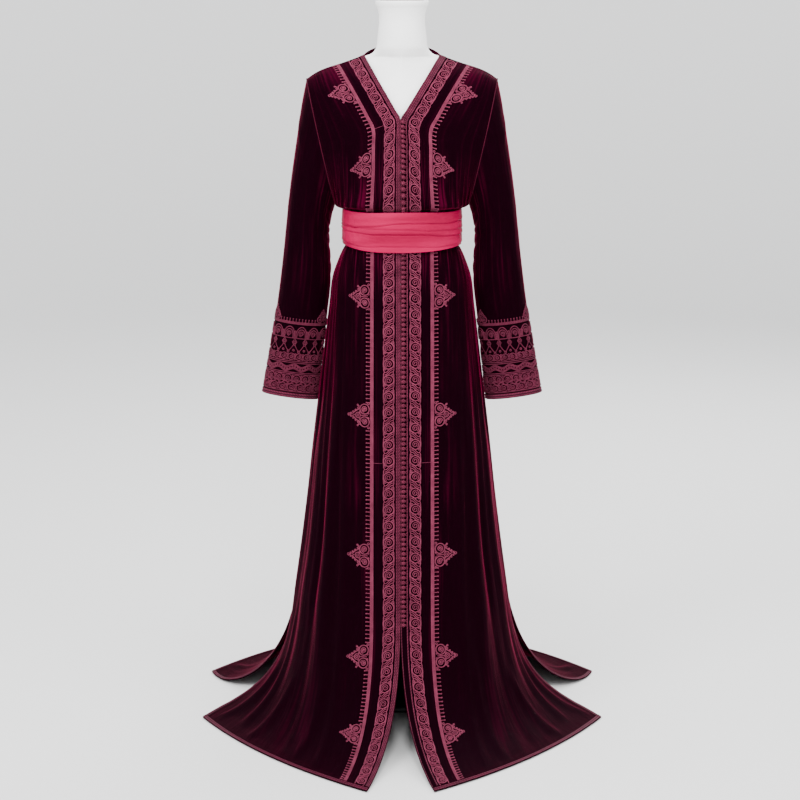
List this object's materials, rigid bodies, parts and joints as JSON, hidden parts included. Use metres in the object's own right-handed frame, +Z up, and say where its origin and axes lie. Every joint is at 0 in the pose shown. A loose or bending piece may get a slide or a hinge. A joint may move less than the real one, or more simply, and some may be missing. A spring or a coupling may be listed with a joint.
{
  "type": "velvet caftan on a dress form",
  "caption": "Long open-front velvet caftan with couched-cord bands, embroidered cuffs and a wound sash, on a limbless dress form.",
  "frame": {"origin": "centre of the underside of the dress form's stand, on the floor", "axes": "+Z up, the garment's front faces -Y, +X towards the wearer's left"},
  "size_m": [0.876, 1.033, 1.5273],
  "materials": {
    "velvet": "deep aubergine silk velvet with a crimson sheen",
    "cord": "dusty rose twisted silk cord, couched",
    "braid": "plum braid",
    "satin": "raspberry satin-backed crepe",
    "form_white": "smooth white",
    "cap_wood": "dark stained, satin",
    "stand_metal": "dark satin paint"
  },
  "bodies": {
    "root": {"front_right": "velvet", "edge_braid_right": "braid", "scroll_band_right": "cord", "outer_band_right": "cord", "hem_braid_front_right": "braid", "slit_braid_front_right": "braid", "palmette_right_1": "cord", "palmette_right_2": "cord", "palmette_right_3": "cord", "palmette_right_4": "cord", "palmette_right_5": "cord", "palmette_right_6": "cord", "palmette_right_7": "cord", "front_left": "velvet", "edge_braid_left": "braid", "scroll_band_left": "cord", "outer_band_left": "cord", "hem_braid_front_left": "braid", "slit_braid_front_left": "braid", "palmette_left_1": "cord", "palmette_left_2": "cord", "palmette_left_3": "cord", "palmette_left_4": "cord", "palmette_left_5": "cord", "palmette_left_6": "cord", "palmette_left_7": "cord", "button_column": "cord", "back": "velvet", "neck_braid_back": "braid", "hem_braid_back": "braid", "slit_braid_back_right": "braid", "slit_braid_back_left": "braid", "sleeve_right": "velvet", "cuff_band_right": "cord", "cuff_braid_right": "braid", "sleeve_left": "velvet", "cuff_band_left": "cord", "cuff_braid_left": "braid", "sash": "satin", "form_torso": "form_white", "form_neck_cap": "cap_wood", "form_pole": "stand_metal", "form_stand": "stand_metal"}
  },
  "joints": []
}
